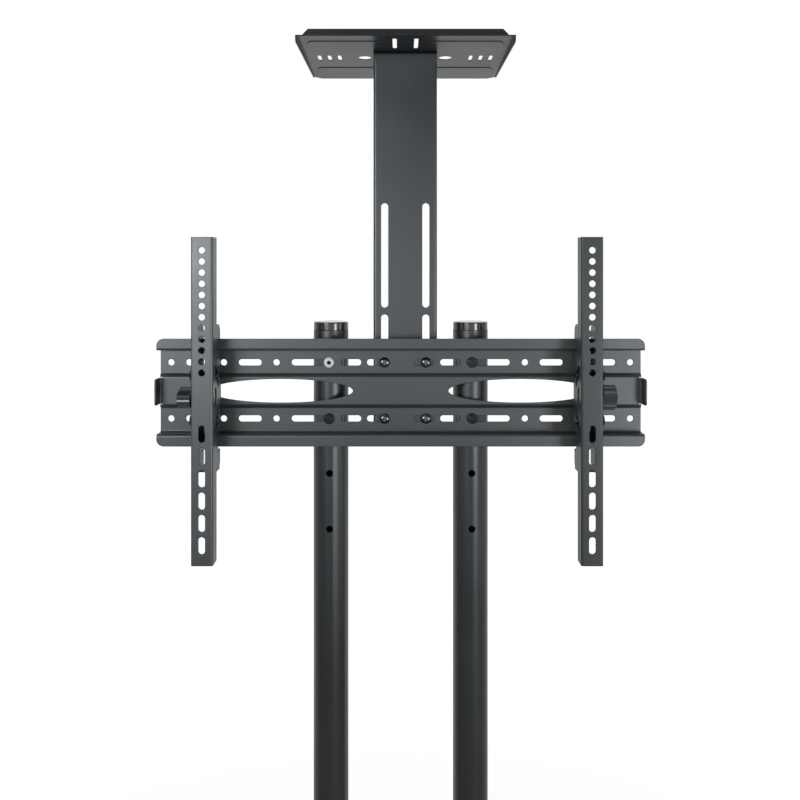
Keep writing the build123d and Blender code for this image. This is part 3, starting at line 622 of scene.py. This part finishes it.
# The column caps' side, as pairs of inset from the rim and height above its lower edge
CAP_RIM_HEIGHT = 0.012
CAP_ROUNDING = 0.0018
CAP_ROUNDING_STEPS = 8
CAP_SIDE = (
    (0.003, -0.004),
    (0.0014, 0.0),
    (0.0002, 0.0002),
    (0.0, 0.0005),
    (0.0, 0.0008),
    (0.0, 0.0050),
    (0.0, 0.0098),
    (0.0, 0.0102),
)


def column_cap_profile(radius):
    """From the spigot over the side and the rounded rim to the dished middle."""
    profile = [(radius - inset, height) for inset, height in CAP_SIDE]
    rounding_start = CAP_SIDE[-1][1]
    for part in range(1, CAP_ROUNDING_STEPS + 1):
        lift = math.radians(90.0 * part / CAP_ROUNDING_STEPS)
        out = radius - CAP_ROUNDING + CAP_ROUNDING * math.cos(lift)
        profile.append((out, rounding_start + CAP_ROUNDING * math.sin(lift)))
    profile += [
        (radius - 0.0040, 0.01198),
        (radius * 0.5, 0.01180),
        (0.0016, 0.01175),
    ]
    return profile


def make_column_caps():
    """The turned top of each plastic cap."""
    for side in SIDES:
        low, high = node_box(f"{side}_column_cap")
        radius = (high.x - low.x) / 2.0
        centre = ((low.x + high.x) / 2.0, COLUMN_Y, high.z - CAP_RIM_HEIGHT)
        shape = bmesh.new()
        turn_profile(shape, turned_place(centre, UPWARD), column_cap_profile(radius), turns=128)
        cap = add_piece(f"{side}_cap_top", shape, "floor_stand", cap_gloss, smooth_limit=50.0)
        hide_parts(f"{side}_column_cap")


# A rubber pad, as pairs of radius and height: rings underneath, a rolled lower edge and a groove round it.
# The frame's pad has facets, so along Y its box is a little short of the round pad's.
PAD_PROFILE = (
    (0.0060, 0.0010),
    (0.0070, 0.0002),
    (0.0105, 0.0002),
    (0.0112, 0.0012),
    (0.0130, 0.0012),
    (0.0137, 0.0002),
    (0.0172, 0.0002),
    (0.0180, 0.0),
    (0.0205, 0.0),
    (0.0214, 0.0003),
    (0.02185, 0.0010),
    (0.0218, 0.0030),
    (0.0212, 0.0034),
    (0.0212, 0.0042),
    (0.0217, 0.0046),
    (0.0213, 0.0072),
    (0.0208, 0.0080),
)
PAD_INSET = 0.022
PAD_FACET_GAP = 0.00006


def make_foot_pads():
    """Four turned rubber pads under the legs' ends."""
    shape = bmesh.new()
    high = node_box("foot_pads")[1]
    for x in BOTH_WAYS:
        for y in BOTH_WAYS:
            centre = (x * (high.x - PAD_INSET), y * (high.y - PAD_INSET + PAD_FACET_GAP), 0.0)
            turn_profile(shape, turned_place(centre, UPWARD), PAD_PROFILE, turns=72)
    pads = add_piece("turned_foot_pads", shape, "floor_stand", pad_rubber, smooth_limit=35.0)
    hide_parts("foot_pads")


# A leg's end cap, as pairs of inset from its edge and distance out from the leg: a rounded flange with a
# raised rim around a shallow field
LEG_CAP_PROFILE = (
    (0.0004, 0.0),
    (0.0, 0.0003),
    (0.0, 0.0020),
    (0.0003, 0.0027),
    (0.0010, 0.0030),
    (0.0045, 0.0030),
    (0.0049, 0.0027),
    (0.0052, 0.0022),
    (0.0057, 0.0020),
)
LEG_CAP_THICKNESS = 0.003
LEG_CAP_CORNER = 0.004
LEG_CAP_LEAST_CORNER = 0.001


def make_leg_caps():
    """Moulded caps on the four ends of the legs."""
    low, high = node_box("leg_end_caps")
    half_height = (high.z - low.z) / 2.0
    middle = (high.z + low.z) / 2.0
    shape = bmesh.new()
    for x in BOTH_WAYS:
        for y in BOTH_WAYS:
            loops = []
            for inset, out in LEG_CAP_PROFILE:
                corner = max(LEG_CAP_CORNER - inset, LEG_CAP_LEAST_CORNER)
                outline = rounded_outline(LEG_HALF_WIDTH - inset, half_height - inset, corner)
                centre_x = x * (high.x - LEG_HALF_WIDTH)
                depth = y * (high.y - LEG_CAP_THICKNESS + out)
                loops.append([(centre_x + across, depth, middle + up) for across, up in outline])
            skin_loops(shape, loops)
    name = "moulded_leg_caps"
    caps = add_piece(name, shape, "floor_stand", cap_plastic, smooth_limit=35.0)
    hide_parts("leg_end_caps")


# The lock screws: a rounded socket head with a thread above it
LOCK_HEAD_TURNS = 48
LOCK_HEAD_HEIGHT = 0.006
LOCK_HEAD_CLEARANCE = 0.00003
LOCK_SHANK_RADIUS = 0.0030
LOCK_TIP_RADIUS = 0.0021
LOCK_TIP_LENGTH = 0.0008
LOCK_THREAD_START = -0.0003
LOCK_PITCH = 0.0010
LOCK_SOCKET_FLATS = 0.005
LOCK_SOCKET_FLOOR = 0.0025


def lock_head_loops(place, head_radius):
    """From the shank over the rounded head into its hexagonal socket."""
    profile = (
        (LOCK_SHANK_RADIUS, -0.0005),
        (LOCK_SHANK_RADIUS, 0.0),
        (head_radius, 0.0),
        (head_radius, 0.0030),
        (head_radius - 0.0004, 0.0048),
        (head_radius - 0.0012, 0.0057),
        (head_radius - 0.0017, LOCK_HEAD_HEIGHT),
        (LOCK_SHANK_RADIUS, LOCK_HEAD_HEIGHT),
    )
    loops = [ring_of(place, [radius] * LOCK_HEAD_TURNS, height) for radius, height in profile]
    for height in (LOCK_HEAD_HEIGHT - 0.0003, LOCK_SOCKET_FLOOR):
        loops.append(ring_of(place, hexagon(LOCK_SOCKET_FLATS, LOCK_HEAD_TURNS), height))
    return loops


def make_lock_screws():
    """The threaded screw under each bracket."""
    for side in SIDES:
        low, high = node_box(f"{side}_lock_screw")
        seat = ((low.x + high.x) / 2.0, (low.y + high.y) / 2.0, low.z + LOCK_HEAD_HEIGHT)
        head_radius = (high.x - low.x) / 2.0 - LOCK_HEAD_CLEARANCE
        length = high.z - seat[2]
        shape = bmesh.new()
        skin_loops(shape, lock_head_loops(turned_place(seat, DOWNWARD), head_radius))
        shank = turned_place(seat, UPWARD)
        thread_end = length - LOCK_TIP_LENGTH
        loops = cut_thread(shank, LOCK_THREAD_START, thread_end, LOCK_SHANK_RADIUS, LOCK_PITCH)
        loops.append(ring_of(shank, [LOCK_TIP_RADIUS] * THREAD_TURNS, length))
        skin_loops(shape, loops)
        name = f"{side}_threaded_lock_screw"
        screw = add_piece(name, shape, f"{side}_lock", black_steel)
        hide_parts(f"{side}_lock_screw")


# The clamp studs
STUD_PITCH = 0.00125
STUD_CHAMFER = 0.0006
STUD_END_SHARE = 0.78


def make_clamp_studs():
    """The threaded studs that the tilt knobs turn on."""
    for side in SIDES:
        low, high = node_box(f"{side}_clamp_stud")
        start = (low.x, (low.y + high.y) / 2.0, (low.z + high.z) / 2.0)
        length = high.x - low.x
        radius = (high.z - low.z) / 2.0
        place = turned_place(start, RIGHTWARD)
        end_ring = [radius * STUD_END_SHARE] * THREAD_TURNS
        loops = [ring_of(place, end_ring, 0.0)]
        loops += cut_thread(place, STUD_CHAMFER, length - STUD_CHAMFER, radius, STUD_PITCH)
        loops.append(ring_of(place, end_ring, length))
        shape = bmesh.new()
        skin_loops(shape, loops)
        stud = add_piece(f"{side}_threaded_stud", shape, f"{side}_knob", zinc_thread)
        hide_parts(f"{side}_clamp_stud")


# Studio: white for the camera; the surfaces mirror a dim room with a white wall and floor behind the stand
ROOM_LEVEL = 0.18
WALL_LEVEL = 1.0
WALL_BEHIND = (0.1, 0.7)
WALL_TOP = (0.05, 0.75)


def build_world():
    """A white background whose mirror image is a dim room with a bright wall behind and low down."""
    world = bpy.data.worlds.new("studio")
    bpy.context.scene.world = world
    world.use_nodes = True
    tree = world.node_tree
    tree.nodes.clear()
    place = tree.nodes.new("ShaderNodeTexCoord")
    split = tree.nodes.new("ShaderNodeSeparateXYZ")
    tree.links.new(place.outputs["Generated"], split.inputs["Vector"])
    behind = span(tree, split.outputs["Y"], (0.0, 1.0), within=WALL_BEHIND)
    low = span(tree, split.outputs["Z"], (1.0, 0.0), within=WALL_TOP)
    wall = combine(tree, "MULTIPLY", behind, low)
    soft = tree.nodes.new("ShaderNodeBackground")
    soft.inputs["Color"].default_value = WHITE
    level = span(tree, wall, (ROOM_LEVEL, WALL_LEVEL), within=(0.0, 1.0))
    tree.links.new(level, soft.inputs["Strength"])
    white = tree.nodes.new("ShaderNodeBackground")
    white.inputs["Color"].default_value = WHITE
    rays = tree.nodes.new("ShaderNodeLightPath")
    mix = tree.nodes.new("ShaderNodeMixShader")
    tree.links.new(rays.outputs["Is Camera Ray"], mix.inputs["Fac"])
    tree.links.new(soft.outputs["Background"], mix.inputs[1])
    tree.links.new(white.outputs["Background"], mix.inputs[2])
    output = tree.nodes.new("ShaderNodeOutputWorld")
    tree.links.new(mix.outputs["Shader"], output.inputs["Surface"])


FLOOR_RADIUS = 25.0
FLOOR_COLOUR = (0.28, 0.28, 0.28, 1.0)
FLOOR_ROUGHNESS = 0.9
FLOOR_SHINE = 0.1
# For the camera the floor is a little less than white near the stand, and white further off
FLOOR_SEEN_LEVELS = (0.78, 1.0)
FLOOR_SEEN_DISTANCES = (0.9, 3.0)
# What mirrors the floor sees it dark in front of the stand and pale behind it
FLOOR_MIRRORED_LEVELS = (0.0, 0.7)
FLOOR_MIRRORED_DEPTHS = (-0.3, 1.5)


def build_floor():
    """A wide pale floor that is white for the camera and keeps the shadows."""
    mesh = bpy.data.meshes.new("studio_floor")
    shape = bmesh.new()
    bmesh.ops.create_circle(shape, cap_ends=True, segments=96, radius=FLOOR_RADIUS)
    shape.to_mesh(mesh)
    shape.free()
    floor = bpy.data.objects.new("studio_floor", mesh)
    bpy.context.scene.collection.objects.link(floor)
    material = bpy.data.materials.new("floor_paper")
    material.use_nodes = True
    tree = material.node_tree
    shader = tree.nodes["Principled BSDF"]
    shader.inputs["Base Color"].default_value = FLOOR_COLOUR
    shader.inputs["Roughness"].default_value = FLOOR_ROUGHNESS
    shader.inputs["Specular IOR Level"].default_value = FLOOR_SHINE
    shader.inputs["Emission Color"].default_value = WHITE
    rays = tree.nodes.new("ShaderNodeLightPath")
    place = object_place(tree)
    split = tree.nodes.new("ShaderNodeSeparateXYZ")
    tree.links.new(place, split.inputs["Vector"])
    reach = distance_from_origin(tree, place)
    seen_level = span(tree, reach, FLOOR_SEEN_LEVELS, within=FLOOR_SEEN_DISTANCES)
    seen = combine(tree, "MULTIPLY", rays.outputs["Is Camera Ray"], seen_level)
    mirrored_level = span(tree, split.outputs["Y"], FLOOR_MIRRORED_LEVELS, within=FLOOR_MIRRORED_DEPTHS)
    mirrored = combine(tree, "MULTIPLY", rays.outputs["Is Glossy Ray"], mirrored_level)
    tree.links.new(combine(tree, "ADD", seen, mirrored), shader.inputs["Emission Strength"])
    mesh.materials.append(material)


# Each soft box: name, place, the point it looks at, width and height, and how bright its face is
STAND_MIDDLE = (0.0, 0.0, 1.35)
SOFT_BOXES = (
    ("front_panel", (0.0, -3.0, 1.30), (0.0, 0.0, 1.30), (3.6, 1.2), 1.05),
    ("left_highlight", (-1.55, -2.7, 1.80), (-0.3, 0.0, 1.5), (1.4, 1.0), 11.0),
    ("right_highlight", (1.75, -2.6, 0.95), (0.3, 0.0, 1.3), (0.8, 1.1), 13.0),
    ("overhead_panel", (0.0, -0.4, 3.6), STAND_MIDDLE, (2.0, 1.2), 1.2),
    ("right_panel", (2.6, -0.8, 1.3), STAND_MIDDLE, (1.4, 1.8), 2.0),
    ("left_panel", (-2.6, -0.8, 1.3), STAND_MIDDLE, (1.4, 1.8), 0.8),
    ("rear_soft_box", (0.0, 2.6, 2.6), STAND_MIDDLE, (2.4, 1.0), 2.0),
)


def light_stand():
    """Places the soft boxes, which the camera doesn't see."""
    for name, place, target, size, level in SOFT_BOXES:
        light = bpy.data.lights.new(name, "AREA")
        light.shape = "RECTANGLE"
        light.size, light.size_y = size
        light.energy = level * math.pi * size[0] * size[1]
        lamp = bpy.data.objects.new(name, light)
        lamp.location = place
        lamp.rotation_euler = (Vector(target) - Vector(place)).to_track_quat("-Z", "Y").to_euler()
        lamp.visible_camera = False
        bpy.context.scene.collection.objects.link(lamp)


place_camera()
finish_nodes()
make_column_welds()
make_column_caps()
make_foot_pads()
make_leg_caps()
make_lock_screws()
make_clamp_studs()
build_world()
build_floor()
light_stand()

bpy.context.scene.view_settings.view_transform = "Standard"
